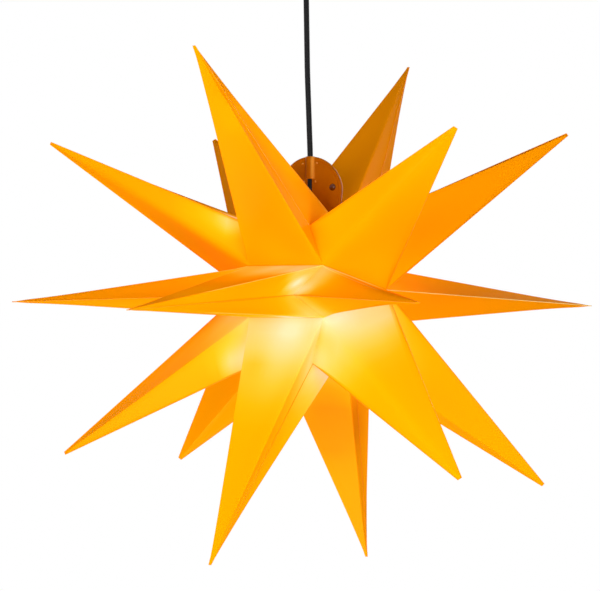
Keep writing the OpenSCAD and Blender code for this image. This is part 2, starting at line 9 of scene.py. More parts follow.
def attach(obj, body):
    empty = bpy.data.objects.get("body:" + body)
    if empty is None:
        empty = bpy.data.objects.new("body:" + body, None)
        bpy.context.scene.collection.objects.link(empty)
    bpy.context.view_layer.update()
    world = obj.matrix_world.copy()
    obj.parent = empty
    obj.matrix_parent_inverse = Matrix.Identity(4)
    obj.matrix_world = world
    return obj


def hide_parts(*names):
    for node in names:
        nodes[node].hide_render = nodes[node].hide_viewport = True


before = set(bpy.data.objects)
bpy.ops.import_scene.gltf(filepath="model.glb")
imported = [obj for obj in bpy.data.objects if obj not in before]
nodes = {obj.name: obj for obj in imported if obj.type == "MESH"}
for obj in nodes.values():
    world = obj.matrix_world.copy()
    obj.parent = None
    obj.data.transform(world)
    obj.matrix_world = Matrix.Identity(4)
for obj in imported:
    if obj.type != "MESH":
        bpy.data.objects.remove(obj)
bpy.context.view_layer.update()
scene = bpy.context.scene
mm = 0.001

scene.view_settings.view_transform = "Standard"

# camera at the photograph's angle, level, rolled until the cable hangs plumb
cameraSet = {"place": (-0.01277, -1.40481, -0.3348), "roll": 1.42, "lens": 90.0}


def placeCamera():
    data = bpy.data.cameras.new("camera")
    data.lens = cameraSet["lens"]
    data.sensor_width = 36.0
    data.sensor_fit = "HORIZONTAL"
    camera = bpy.data.objects.new("camera", data)
    camera.location = cameraSet["place"]
    camera.rotation_euler = (math.radians(90), math.radians(cameraSet["roll"]), 0)
    scene.collection.objects.link(camera)
    scene.camera = camera


placeCamera()
print("camera placed")


# one socket in a shader, with the operators that the materials use
class Link:
    def __init__(self, shader, socket):
        self.shader = shader
        self.socket = socket

    def math(self, operation, first, second):
        return self.shader.node("ShaderNodeMath", {"operation": operation}, {0: first, 1: second})

    def __add__(self, other):
        return self.math("ADD", self, other)

    __radd__ = __add__

    def __sub__(self, other):
        return self.math("SUBTRACT", self, other)

    def __rsub__(self, other):
        return self.math("SUBTRACT", other, self)

    def __mul__(self, other):
        return self.math("MULTIPLY", self, other)

    __rmul__ = __mul__

    def least(self, other):
        return self.math("MINIMUM", self, other)

    def most(self, other):
        return self.math("MAXIMUM", self, other)


class Shader:
    def __init__(self, name, world=False):
        made = bpy.data.worlds.new(name) if world else bpy.data.materials.new(name)
        made.use_nodes = True
        self.owner = made
        self.tree = made.node_tree
        self.tree.nodes.clear()
        kind = "ShaderNodeOutputWorld" if world else "ShaderNodeOutputMaterial"
        self.end = self.tree.nodes.new(kind)

    def node(self, kind, settings=None, inputs=None, out=0):
        made = self.tree.nodes.new(kind)
        for key, value in (settings or {}).items():
            if key == "stops":
                stops = made.color_ramp.elements
                while len(stops) < len(value):
                    stops.new(0.5)
                for stop, (place, colour) in zip(stops, value):
                    stop.position = place
                    stop.color = (*colour, 1)
            else:
                setattr(made, key, value)
        for key, value in (inputs or {}).items():
            if isinstance(value, Link):
                self.tree.links.new(value.socket, made.inputs[key])
            else:
                made.inputs[key].default_value = value
        return Link(self, made.outputs[out])

    def vector(self, operation, values, out=0):
        settings = {"operation": operation}
        return self.node("ShaderNodeVectorMath", settings, dict(enumerate(values)), out)

    def blend(self, factor, first, second):
        first, second = [c if isinstance(c, Link) else (*c, 1) for c in (first, second)]
        inputs = {0: factor, 6: first, 7: second}
        return self.node("ShaderNodeMix", {"data_type": "RGBA"}, inputs, 2)

    def place(self):
        return self.node("ShaderNodeTexCoord", out=3)

    def cloud(self, scale, detail=2.0, stretch=None):
        where = self.place()
        if stretch:
            where = self.node("ShaderNodeMapping", {}, {0: where, 3: stretch})
        inputs = {"Vector": where, "Scale": scale, "Detail": detail}
        return self.node("ShaderNodeTexNoise", {}, inputs)

    def step(self, value, low, high):
        settings = {"interpolation_type": "SMOOTHSTEP"}
        return self.node("ShaderNodeMapRange", settings, {0: value, 1: low, 2: high})

    def bump(self, height, depth):
        inputs = {"Strength": 1.0, "Distance": depth, "Height": height}
        return self.node("ShaderNodeBump", {}, inputs)

    def close(self, shader):
        self.tree.links.new(shader.socket, self.end.inputs["Surface"])
        return self.owner

    def plastic(self, **sockets):
        named = {key.replace("_", " "): value for key, value in sockets.items()}
        return self.close(self.node("ShaderNodeBsdfPrincipled", {}, named))


def smooth(a, b, x):
    t = min(1.0, max(0.0, (x - a) / (b - a)))
    return t * t * (3 - 2 * t)


# the free cable, along the same points as the solid
cable = {
    "top": -46.95, "low": -204.679, "radius": 2.65,
    "way": (
        (0, 0), (0.05, 0), (0.12, -0.1), (0.19, -0.2), (0.26, -0.3), (0.33, -0.4),
        (0.4, -0.5), (0.47, -0.6), (0.54, -0.6), (0.61, -0.5), (0.68, -0.4),
        (0.75, -0.3), (0.82, -0.2), (0.89, -0.1), (0.95, 0), (1, 0),
    ),
}


def rubberMaterial():
    s = Shader("cableRubber")
    grain = s.cloud(2600, 3)
    drag = s.cloud(60, 2, (1, 1, 0.06))
    tone = s.blend(s.step(drag, 0.35, 0.75), (0.006, 0.006, 0.007), (0.011, 0.011, 0.012))
    return s.plastic(
        Base_Color=tone,
        Roughness=0.30 + 0.10 * drag,
        Normal=s.bump(grain, 0.00002),
        Specular_IOR_Level=0.1,
    )


def tubeCurve(name, points, radius):
    data = bpy.data.curves.new(name, "CURVE")
    data.dimensions = "3D"
    data.bevel_depth = radius
    data.bevel_resolution = 8
    data.use_fill_caps = True
    spline = data.splines.new("POLY")
    spline.points.add(len(points) - 1)
    for spot, p in zip(spline.points, points):
        spot.co = (*p, 1)
    spline.use_smooth = True
    made = bpy.data.objects.new(name, data)
    scene.collection.objects.link(made)
    return made


rubber = rubberMaterial()


def hangCable():
    span = cable["low"] - cable["top"]
    points = [(bow * mm, 0, (cable["top"] + span * share) * mm) for share, bow in cable["way"]]
    cord = tubeCurve("pendant_cord", points, cable["radius"] * mm)
    cord.data.materials.append(rubber)
    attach(cord, "cable")
    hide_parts("pendant_cable")


hangCable()
print("cable hung")

# the star's driving sizes, in millimetres and degrees, in its own frame
star = {
    "drop": 330, "turn": -29.5, "lean": -1.2, "belt": 291, "side": 278, "lat": 46,
    "pole": 76, "valleyR": 57, "valleyX": 39, "seamX": 34, "notchR": 84, "notchX": 28,
    "firstGore": -2.5, "goreSteps": (46, 84.5, 57.5, 62, 61, 49),
    "valleyShares": (0.565, 0.521, 0.504, 0.508, 0.5, 0.531),
    "leans": (-0.5, 1.5, 3, 2.5, -0.5, 0),
    "tipOver": 14, "tipFlat": 14, "tipPinch": 0.6, "cableX": -1, "plateTop": 125,
    "baseStep": 1.5, "tipStep": 4.5,
}
gores = [star["firstGore"] + sum(star["goreSteps"][:i]) for i in range(6)]
valleys = [g + k * s for g, k, s in zip(gores, star["valleyShares"], star["goreSteps"])]
seamY = -star["valleyR"] * math.cos(math.radians(valleys[1]))
seamZ = star["valleyR"] * math.sin(math.radians(valleys[1]))


def hangMatrix():
    lean = Matrix.Rotation(math.radians(-star["lean"]), 4, "Y")
    top = lean @ Vector((star["cableX"], seamY, star["plateTop"]))
    turn = Matrix.Rotation(math.radians(star["turn"]), 4, "Z")
    drop = Matrix.Translation((0, 0, -star["drop"]))
    return drop @ turn @ Matrix.Translation((-top.x, -top.y, 0)) @ lean


hung = Matrix.Scale(mm, 4) @ hangMatrix()
onCable = hung @ Matrix.Translation((star["cableX"], seamY, 0))


def aim(lat, lon):
    lat, lon = math.radians(lat), math.radians(lon)
    return Vector((math.sin(lat), -math.cos(lat) * math.cos(lon), math.cos(lat) * math.sin(lon)))


def corner(x, r, lon):
    lon = math.radians(lon)
    return Vector((x, -r * math.cos(lon), r * math.sin(lon)))


def cutAt(tip, p, along, depth):
    return tip + (p - tip) * (depth / (tip - p).dot(along))


# outer corners of a half sheet, in the same order as the solid's
def sheetCorners(gore, valley):
    s = star
    lean, lon, turn = s["leans"][gore], gores[gore], valleys[valley]
    out = s["seamX"] if valley == 1 else s["valleyX"]
    north, south = Vector((s["pole"], 0, 0)), Vector((-s["pole"], 0, 0))
    valleyN, valleyS = corner(out, s["valleyR"], turn), corner(-out, s["valleyR"], turn)
    swing = s["notchR"] * math.tan(math.radians(lean))
    notchN = corner(s["notchX"] + swing, s["notchR"], lon)
    notchS = corner(-s["notchX"] + swing, s["notchR"], lon)
    wayN, wayB, wayS = [aim(lat + lean, lon) for lat in (s["lat"], 0, -s["lat"])]
    tipN, tipS = [way * (s["side"] + s["tipOver"]) for way in (wayN, wayS)]
    tipB = wayB * (s["belt"] + s["tipOver"])
    over, deep = s["tipOver"], s["tipOver"] + s["tipFlat"]
    corners = [
        north, cutAt(tipN, north, wayN, over), cutAt(tipN, notchN, wayN, over), notchN,
        cutAt(tipB, notchN, wayB, over), cutAt(tipB, notchS, wayB, over), notchS,
        cutAt(tipS, notchS, wayS, over), cutAt(tipS, south, wayS, over), south,
        valleyS, valleyN,
        cutAt(tipN, valleyN, wayN, deep), cutAt(tipB, valleyN, wayB, deep),
        cutAt(tipB, valleyS, wayB, deep), cutAt(tipS, valleyS, wayS, deep),
    ]
    for way, ring in ((wayN, (1, 2, 12)), (wayB, (4, 5, 13, 14)), (wayS, (7, 8, 15))):
        for i in ring:
            mid = way * corners[i].dot(way)
            corners[i] = mid.lerp(corners[i], s["tipPinch"])
    return corners, (tipN, tipB, tipS)


# each face of a point: its triangles, which tip it runs to, and the ends of its base
faces = (
    (((0, 1, 12), (0, 12, 11)), 0, (0, 11)),
    (((1, 2, 12),), 0, None),
    (((2, 3, 12), (3, 11, 12)), 0, (3, 11)),
    (((3, 4, 13), (3, 13, 11)), 1, (3, 11)),
    (((4, 5, 13), (5, 14, 13)), 1, None),
    (((13, 14, 10), (13, 10, 11)), 1, (11, 10)),
    (((5, 6, 14), (6, 10, 14)), 1, (6, 10)),
    (((6, 7, 15), (6, 15, 10)), 2, (6, 10)),
    (((7, 8, 15),), 2, None),
    (((8, 9, 15), (9, 10, 15)), 2, (9, 10)),
)
# the six creases of a sheet, the two of them in the valleys, and the folds at the tips
creases = {(11, 12), (3, 11), (11, 13), (10, 14), (6, 10), (10, 15)}
valleyFolds = {(3, 11), (6, 10)}
tipFolds = {(1, 12), (2, 12), (4, 13), (5, 14), (7, 15), (8, 15)}
steps = [
    star["baseStep"] if i in (0, 3, 6, 9, 10, 11) else star["tipStep"] for i in range(16)
]
sheet = {
    "cuts": 14, "bulge": 0.030, "bowFade": 0.72, "sharp": 24, "far": 90.0,
    "soft": {(1, 2): 1.0, (1, 0): 1.0, (0, 0): 1.0, (5, 0): 1.0}, "crisp": 0.15,
    "softRounds": 10, "give": 0.55, "giveEnds": 285, "giveFades": 60,
    "foldThin": 0.6, "fade": 0.03, "fadeFrom": 190,
}


def pair(a, b):
    return (min(a, b), max(a, b))


# whether an edge lies on the sheet's outline, where it is welded
def onRim(edge):
    return (edge[1] - edge[0] == 1 or edge == (0, 11)) and edge[1] < 12


# how far a face bows outward at p, as a share of its width there
def bow(p, tip, left, right):
    u, v, w = left - tip, right - tip, p - tip
    uu, uv, vv = u.dot(u), u.dot(v), v.dot(v)
    wu, wv = w.dot(u), w.dot(v)
    det = uu * vv - uv * uv
    b, c = (vv * wu - uv * wv) / det, (uu * wv - uv * wu) / det
    if b <= 1e-6 or c <= 1e-6:
        return 0.0
    wide = (left - right).length
    return wide * 4 * b * c / (b + c) * smooth(1.0, sheet["bowFade"], b + c)


class HalfSheet:
    def __init__(self, gore, side):
        self.gore, self.side = gore, side
        valley = gore if side > 0 else (gore + 5) % 6
        self.corners, self.tips = sheetCorners(gore, valley)
        self.index, self.points, self.sinks = {}, [], []
        self.fixed, self.tris, self.marks, self.seams = set(), [], [], []
        self.rimKeys = {}
        for triangles, tip, base in faces:
            for triangle in triangles:
                self.addTriangle(triangle, tip, base)
        self.soften()

    def vertex(self, p, sink, lift):
        key = (round(p.x, 3), round(p.y, 3), round(p.z, 3))
        if key not in self.index:
            self.index[key] = len(self.points)
            self.points.append(p + lift)
            self.sinks.append(sink)
        return self.index[key]

    def addTriangle(self, triangle, tip, base):
        a, b, c = [self.corners[i] for i in triangle]
        one, two, three = triangle
        edges = [pair(two, three), pair(three, one), pair(one, two)]
        flat = (b - a).cross(c - a)
        area, normal = flat.length, flat.normalized() * self.side
        heights = [area / (c - b).length, area / (a - c).length, area / (b - a).length]
        n = sheet["cuts"]
        rows = {}
        for i in range(n + 1):
            for j in range(n + 1 - i):
                share = (i / n, j / n, (n - i - j) / n)
                p = a * share[0] + b * share[1] + c * share[2]
                lift = Vector()
                if base:
                    ends = [self.corners[e] for e in base]
                    lift = normal * bow(p, self.tips[tip], *ends) * sheet["bulge"]
                sink = sum(s * steps[t] for s, t in zip(share, triangle))
                v = self.vertex(p, sink, lift)
                rows[i, j] = (v, share)
                for edge in [e for e, s in zip(edges, share) if s == 0]:
                    if onRim(edge):
                        self.fixed.add(v)
                        run = self.rimKeys.setdefault(edge, {})
                        run[v] = (p - self.corners[edge[0]]).length
                    if edge in tipFolds | valleyFolds:
                        self.fixed.add(v)
        for i in range(n):
            for j in range(n - i):
                low, right, up = rows[i, j], rows[i + 1, j], rows[i, j + 1]
                self.addCell([low, right, up], heights, edges)
                if i + j < n - 1:
                    self.addCell([right, rows[i + 1, j + 1], up], heights, edges)

    # one small triangle, and how far its corners are from the creases and the seams
    def addCell(self, cell, heights, edges):
        if self.side > 0:
            cell = cell[::-1]
        self.tris.append([v for v, share in cell])
        far = sheet["far"]
        # the creases of the two belt gores carry a painted pale highlight line
        paleHighlight = creases - valleyFolds if self.gore in (0, 3) else set()
        for v, share in cell:
            fade = sheet["fade"] * max(0, self.points[v].length - sheet["fadeFrom"])
            marks, seams = [], []
            for e, s, height in zip(edges, share, heights):
                gap = s * height + fade
                # valley folds get a thin darker line, painted shade in the fold
                fold = gap + sheet["foldThin"] if e in valleyFolds else far
                marks.append(gap if e in paleHighlight else far)
                seams.append(gap if onRim(e) else fold)
            self.marks.append(marks)
            self.seams.append(seams)

    # eases the creases, more toward the core, and leaves every welded edge where it is
    def soften(self):
        near = {}
        for tri in self.tris:
            for a, b in ((0, 1), (1, 2), (2, 0)):
                near.setdefault(tri[a], set()).add(tri[b])
                near.setdefault(tri[b], set()).add(tri[a])
        count = len(self.points)
        place = np.array([p[:] for p in self.points])
        start = np.array([i for i in range(count) for _ in near[i]])
        ends = np.array([j for i in range(count) for j in near[i]])
        degree = np.bincount(start, minlength=count)[:, None]
        reach = np.linalg.norm(place, axis=1)
        ways = np.array([t.normalized()[:] for t in self.tips])
        tipOf = np.argmax(place @ ways.T, axis=1)
        ease = [sheet["soft"].get((self.gore, t), sheet["crisp"]) for t in range(3)]
        inner = np.clip((sheet["giveEnds"] - reach) / sheet["giveFades"], 0, 1)
        give = sheet["give"] * inner * np.array(ease)[tipOf]
        give[list(self.fixed)] = 0
        for _ in range(sheet["softRounds"]):
            total = np.zeros_like(place)
            np.add.at(total, start, place[ends])
            place += give[:, None] * (total / degree - place)
        self.points = [Vector(p) for p in place]


def rimRuns(half):
    runs = []
    for i in range(12):
        after = (i + 1) % 12
        found = half.rimKeys[pair(i, after)]
        runs.append(sorted(found, key=lambda v: found[v], reverse=i > after))
    return runs


def makeSheet(number, half, glow, material):
    count = len(half.points)
    outer = [hung @ p for p in half.points]
    inner = [hung @ (p * (1 - s / p.length)) for p, s in zip(half.points, half.sinks)]
    tris = [tuple(t) for t in half.tris]
    under = [tuple(v + count for v in t[::-1]) for t in half.tris]
    walls = []
    for run in rimRuns(half):
        for a, b in zip(run, run[1:]):
            wall = (a, b, b + count, a + count)
            walls.append(wall if half.side < 0 else wall[::-1])
    mesh = bpy.data.meshes.new(f"folded_sheet_{number:02d}")
    mesh.from_pydata(outer + inner, [], tris + under + walls)
    mesh.polygons.foreach_set("use_smooth", [True] * len(mesh.polygons))
    mesh.set_sharp_from_angle(angle=math.radians(sheet["sharp"]))
    corners = len(tris) * 3
    far = [(sheet["far"],) * 3] * (len(mesh.loops) - corners)
    for name, rows in (("creaseGap", half.marks), ("seamGap", half.seams)):
        layer = mesh.attributes.new(name, "FLOAT_VECTOR", "CORNER")
        values = np.array(list(rows) + far, np.float32).ravel()
        layer.data.foreach_set("vector", values)
    layer = mesh.attributes.new("glow", "FLOAT", "POINT")
    layer.data.foreach_set("value", np.concatenate([glow, glow]).astype(np.float32))
    mesh.validate()
    piece = bpy.data.objects.new(mesh.name, mesh)
    scene.collection.objects.link(piece)
    mesh.materials.append(material)
    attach(piece, "star")
    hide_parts(f"star_sheet_{number:02d}")


# light from the bulb on the inside of the sheets, traced once and kept on their points
lamp = {
    "centre": (4, -22, -14), "radius": 24, "spots": 14, "rays": 18, "power": 0.0112,
    "bounce": 1.5, "down": 0.8, "evenRounds": 3,
    "inside": 0.0015, "toward": 0.001, "clear": 0.0006, "short": 0.0004,
    "shades": ("holder_body", "holder_cap", "bulb_housing"),
    "lift": (0, 0, 0, 0, 0.07, 0.07),
    # painted highlights, sheen and shade laid on the glow, spot by spot: place, reach, share kept,
    # glow added
    "paintedPatches": (
        ((5, -61, -374), 17, 0.5, 0.0), ((50, -62, -360), 22, 1.0, 0.15),
        ((70, -56, -352), 16, 1.0, 0.18), ((-80, -33, -264), 17, 1.0, 0.26),
        ((-14, -85, -325), 9, 1.0, 0.8), ((-104, -32, -253), 14, 1.0, 0.14),
        ((-72, -28, -262), 12, 1.0, 0.5), ((-20, -52, -366), 19, 1.0, 0.28),
        ((-73, -24, -394), 13, 1.0, 0.45), ((-56, -56, -396), 14, 0.7, 0.0),
        ((4, 43, -465), 40, 0.1, -0.05), ((23, 26, -455), 34, 0.1, -0.05),
        ((-60, -138, -175), 14, 1.0, 0.16), ((-44, -117, -190), 14, 1.0, 0.16),
        ((-31, -99, -207), 14, 1.0, 0.16), ((-19, -82, -222), 12, 1.0, 0.14),
        ((-1, -66, -280), 22, 0.0, 0.0), ((-92, -154, -315), 18, 1.0, 0.16),
        ((-74, -118, -310), 18, 1.0, 0.08), ((-108, -184, -318), 18, 1.0, 0.15),
    ),
}


goldenTurn = 2.399963


# directions spread evenly over a ball
def spread(count):
    made = []
    for i in range(count):
        z = 1 - (2 * i + 1) / count
        r, turn = math.sqrt(1 - z * z), i * goldenTurn
        made.append(Vector((r * math.cos(turn), r * math.sin(turn), z)))
    return made


def joinHalves(halves):
    points, tris, bases = [], [], [0]
    for half in halves:
        points += [hung @ p for p in half.points]
        tris += [[v + bases[-1] for v in t] for t in half.tris]
        bases.append(len(points))
    return points, tris, bases


def inwardWays(points, tris):
    normals = [Vector() for _ in points]
    for t in tris:
        n = (points[t[1]] - points[t[0]]).cross(points[t[2]] - points[t[0]])
        for v in t:
            normals[v] += n
    return [-n.normalized() for n in normals]


# the sheets, and the solids that stand in the bulb's light
def lightTree(points, tris):
    blocks, blockTris = list(points), list(tris)
    for name in lamp["shades"]:
        base = len(blocks)
        data = nodes[name].data
        blocks += [v.co.copy() for v in data.vertices]
        blockTris += [[v + base for v in f.vertices] for f in data.polygons]
    return BVHTree.FromPolygons(blocks, blockTris)


def directLight(tree, starts, inward, centre):
    reach = lamp["radius"] * mm + lamp["clear"]
    spots = [(d, centre + d * reach) for d in spread(lamp["spots"])]
    direct = np.zeros(len(starts))
    for i, (start, inner) in enumerate(zip(starts, inward)):
        for d, spot in spots:
            to = spot - start
            far = to.length
            to /= far
            facing, leaving = to.dot(inner), -to.dot(d)
            if facing <= 0 or leaving <= 0:
                continue
            if tree.ray_cast(start, to, far - lamp["short"])[0] is not None:
                continue
            down = (1 - lamp["down"]) + lamp["down"] * (to.z + 1) / 2
            direct[i] += facing * leaving * down / (far * far)
    return direct * lamp["power"] / lamp["spots"]


# light that reaches a point from the lit insides of the other sheets
def bouncedLight(tree, starts, inward, lit):
    rays = spread(2 * lamp["rays"])
    bounced = np.zeros(len(starts))
    for i, (start, inner) in enumerate(zip(starts, inward)):
        got = weight = 0.0
        for d in rays:
            facing = d.dot(inner)
            if facing <= 0.05:
                continue
            weight += facing
            hit = tree.ray_cast(start, d)[2]
            if hit is not None and hit < len(lit):
                got += facing * lit[hit]
        bounced[i] = got / max(weight, 1e-6)
    return bounced


def evened(glow, tris):
    ends = np.array([(t[a], t[b]) for t in tris for a, b in ((0, 1), (1, 2), (2, 0))])
    degree = np.bincount(ends[:, 0], minlength=len(glow))
    for _ in range(lamp["evenRounds"]):
        near = np.bincount(ends[:, 0], weights=glow[ends[:, 1]], minlength=len(glow))
        glow = 0.5 * glow + 0.5 * near / degree
    return glow


def traceGlow(halves):
    points, tris, bases = joinHalves(halves)
    tree, inward = lightTree(points, tris), inwardWays(points, tris)
    across, toward, up = lamp["centre"]
    centre = onCable @ Vector((0, 0, up)) + Vector((across, toward, 0)) * mm
    starts = [
        p + inner * lamp["inside"] + (centre - p).normalized() * lamp["toward"]
        for p, inner in zip(points, inward)
    ]
    direct = directLight(tree, starts, inward, centre)
    lit = np.array([direct[t].mean() for t in tris])
    glow = direct + lamp["bounce"] * bouncedLight(tree, starts, inward, lit)
    glow = evened(glow, tris)
    for gore, lift in enumerate(lamp["lift"]):
        glow[bases[2 * gore]:bases[2 * gore + 2]] += lift
    place = np.array([p[:] for p in points]) / mm
    # the painted patches of highlight, sheen and shade go over the traced light
    for spot, reach, share, more in lamp["paintedPatches"]:
        near = np.exp(-((place - spot) ** 2).sum(axis=1) / reach ** 2)
        glow = glow * (1 - (1 - share) * near) + more * near
    return [np.maximum(glow[a:b], 0) for a, b in zip(bases, bases[1:])]


plastic = {
    "amber": (0.98, 0.32, 0.0), "shade": (0.97, 0.29, 0.0), "line": (1.0, 0.66, 0.14),
    "rim": (0.52, 0.13, 0.0), "grain": 0.00006, "creaseHighlightEnds": (0.3, 0.9), "tab": 9.0,
    "flange": 1.1, "creaseHighlightShare": 0.55, "rimShare": 0.38, "tabFoldDim": 0.12, "rimDim": 0.3,
    "glowStops": (
        (0.0, (0.03, 0.0, 0.0)), (0.015, (0.08, 0.015, 0.0)), (0.04, (0.14, 0.04, 0.0)),
        (0.09, (0.22, 0.075, 0.0)), (0.16, (0.28, 0.11, 0.0)), (0.24, (0.36, 0.17, 0.004)),
        (0.35, (0.46, 0.26, 0.03)), (0.50, (0.56, 0.34, 0.10)), (0.68, (0.64, 0.42, 0.23)),
        (0.88, (0.70, 0.49, 0.37)), (1.0, (0.74, 0.55, 0.48)),
    ),
}


# distance in millimetres to the nearest edge that an attribute keeps
def nearest(s, name):
    gap = s.node("ShaderNodeAttribute", {"attribute_name": name}, out=1)
    x, y, z = [s.node("ShaderNodeSeparateXYZ", {}, {0: gap}, i) for i in range(3)]
    return x.least(y).least(z)


def sheetMaterial():
    s = Shader("starPlastic")
    cloud = s.cloud(9, 3)
    fine = s.cloud(260, 2)
    glow = s.node("ShaderNodeAttribute", {"attribute_name": "glow"}, out=2)
    nearFold, nearSeam = [nearest(s, name) for name in ("creaseGap", "seamGap")]
    # painted highlight: a pale line along the belt gores' creases
    line = 1 - s.step(nearFold, *plastic["creaseHighlightEnds"])
    # dark edge along the welds, and painted shade along the valley folds
    edge = 1 - s.step(nearSeam, 0, plastic["flange"])
    band = 1 - s.step(nearSeam, 0, plastic["tab"])
    tone = s.blend(s.step(cloud, 0.3, 0.7) * 0.12, plastic["amber"], plastic["shade"])
    tone = s.blend(line * plastic["creaseHighlightShare"], tone, plastic["line"])
    tone = s.blend(edge * plastic["rimShare"], tone, plastic["rim"])
    # glow dimmed near the welded tabs and the valley folds: the doubled tabs let less light
    # through, and in the folds the dimming is painted shade
    shown = glow * (0.96 + 0.08 * cloud)
    shown = shown * (1 - plastic["tabFoldDim"] * band) * (1 - plastic["rimDim"] * edge)
    lit = s.node("ShaderNodeValToRGB", {"stops": plastic["glowStops"]}, {0: shown})
    return s.plastic(
        Base_Color=tone,
        Roughness=0.40 + 0.08 * fine,
        Emission_Color=lit,
        Emission_Strength=1.0,
        Specular_IOR_Level=0.0,
        Coat_Weight=0.03,
        Coat_Roughness=0.3,
        Normal=s.bump(cloud, plastic["grain"]),
    )


def buildSheets():
    halves = [HalfSheet(g, side) for g in range(6) for side in (-1, 1)]
    print("sheets folded:", sum(len(h.points) for h in halves), "points")
    glows = traceGlow(halves)
    print("glow traced, most", max(float(g.max()) for g in glows))
    material = sheetMaterial()
    for i, (half, glow) in enumerate(zip(halves, glows)):
        makeSheet(i + 1, half, glow, material)
    return halves


halves = buildSheets()
print("sheets built")


# a plain satin plastic with a fine moulded grain
def mouldedMaterial(name, colour, shade, roughness=0.42, grain=1800, depth=0.00003):
    s = Shader(name)
    cloud = s.cloud(70, 3)
    fine = s.cloud(grain, 2)
    return s.plastic(
        Base_Color=s.blend(s.step(cloud, 0.3, 0.75), colour, shade),
        Roughness=roughness - 0.05 + 0.1 * cloud,
        Normal=s.bump(fine, depth),
        Specular_IOR_Level=0.3,
    )


def metalMaterial(name, colour, shade, roughness, stretch):
    s = Shader(name)
    drawn = s.cloud(900, 3, stretch)
    dull = s.cloud(140, 3)
    return s.plastic(
        Base_Color=s.blend(s.step(dull, 0.35, 0.7), colour, shade),
        Metallic=1.0,
        Roughness=roughness - 0.08 + 0.16 * drawn + 0.08 * dull,
        Normal=s.bump(drawn, 0.00002),
    )


def glowMaterial(name, colour, power):
    s = Shader(name)
    fine = s.cloud(500, 2)
    tone = s.blend(s.step(fine, 0.3, 0.7), colour, [0.94 * c for c in colour])
    return s.plastic(
        Base_Color=tone, Roughness=0.34 + 0.06 * fine,
        Emission_Color=tone, Emission_Strength=power,
    )


def wireMaterial():
    s = Shader("wireSleeves")
    x = s.node("ShaderNodeSeparateXYZ", {}, {0: s.place()})
    fine = s.cloud(900, 2)
    tone = s.blend(s.step(x, -0.0004, 0.0004), (0.02, 0.06, 0.30), (0.16, 0.06, 0.02))
    return s.plastic(Base_Color=tone, Roughness=0.38 + 0.1 * fine, Normal=s.bump(fine, 0.00002))


def boardMaterial():
    s = Shader("greenBoard")
    tracks = s.node("ShaderNodeTexBrick", {}, {
        "Vector": s.place(), "Color1": (0.02, 0.16, 0.05, 1), "Color2": (0.03, 0.20, 0.07, 1),
        "Mortar": (0.45, 0.42, 0.20, 1), "Scale": 260.0,
    })
    dull = 0.35 + 0.1 * s.cloud(900)
    return s.plastic(Base_Color=tracks, Roughness=dull, Specular_IOR_Level=0.5)


blackPlastic = mouldedMaterial("blackPlastic", (0.018, 0.018, 0.019), (0.028, 0.028, 0.030))
whitePlastic = mouldedMaterial("whitePlastic", (0.80, 0.80, 0.77), (0.74, 0.74, 0.71))
zinc = metalMaterial("zincPlate", (0.66, 0.67, 0.69), (0.56, 0.57, 0.60), 0.36, (1, 1, 0.1))
brass = metalMaterial("brassSheet", (0.72, 0.52, 0.20), (0.60, 0.41, 0.14), 0.32, (1, 1, 0.1))
boardMetal = metalMaterial("boardMetal", (0.80, 0.81, 0.83), (0.70, 0.71, 0.73), 0.40, (1, 0.1, 1))
opal = glowMaterial("opalGlobe", (0.95, 0.90, 0.78), 1.2)
phosphor = glowMaterial("chipPhosphor", (0.95, 0.72, 0.22), 2.0)


def addPiece(name, mesh, material, body, replaced=(), angle=30):
    mesh.polygons.foreach_set("use_smooth", [True] * len(mesh.polygons))
    mesh.set_sharp_from_angle(angle=math.radians(angle))
    mesh.materials.append(material)
    piece = bpy.data.objects.new(name, mesh)
    scene.collection.objects.link(piece)
    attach(piece, body)
    if replaced:
        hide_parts(*replaced)


def meshFrom(name, bm, matrix=None):
    if matrix:
        bm.transform(matrix)
    bmesh.ops.recalc_face_normals(bm, faces=bm.faces)
    mesh = bpy.data.meshes.new(name)
    bm.to_mesh(mesh)
    bm.free()
    return mesh


# rounds every corner of a closed section by up to the given radius
def eased(section, radius, parts=3):
    made = []
    count = len(section)
    for i in range(count):
        a, b, c = [Vector(section[(i + k) % count]) for k in (-1, 0, 1)]
        u, v = a - b, c - b
        cut = min(radius, 0.45 * u.length, 0.45 * v.length)
        p, q = b + u.normalized() * cut, b + v.normalized() * cut
        for k in range(parts + 1):
            t = k / parts
            made.append(p * (1 - t) ** 2 + b * 2 * t * (1 - t) + q * t * t)
    return made


# turns a closed section of radius and height round the Z axis
def turned(bm, section, rounds, wave=None, matrix=None):
    rings = []
    for k in range(rounds):
        turn = 2 * math.pi * k / rounds
        ring = []
        for r, z in section:
            if wave:
                r = wave(r, z, turn)
            spot = Vector((r * math.cos(turn), r * math.sin(turn), z))
            ring.append(bm.verts.new(matrix @ spot if matrix else spot))
        rings.append(ring)
    count = len(section)
    for k in range(rounds):
        one, two = rings[k], rings[(k + 1) % rounds]
        for i in range(count):
            j = (i + 1) % count
            bm.faces.new((one[i], two[i], two[j], one[j]))
    return bm


# walls between rings of points
def skin(bm, rings):
    for one, two in zip(rings, rings[1:]):
        for i in range(len(one)):
            j = (i + 1) % len(one)
            bm.faces.new((one[i], one[j], two[j], two[i]))


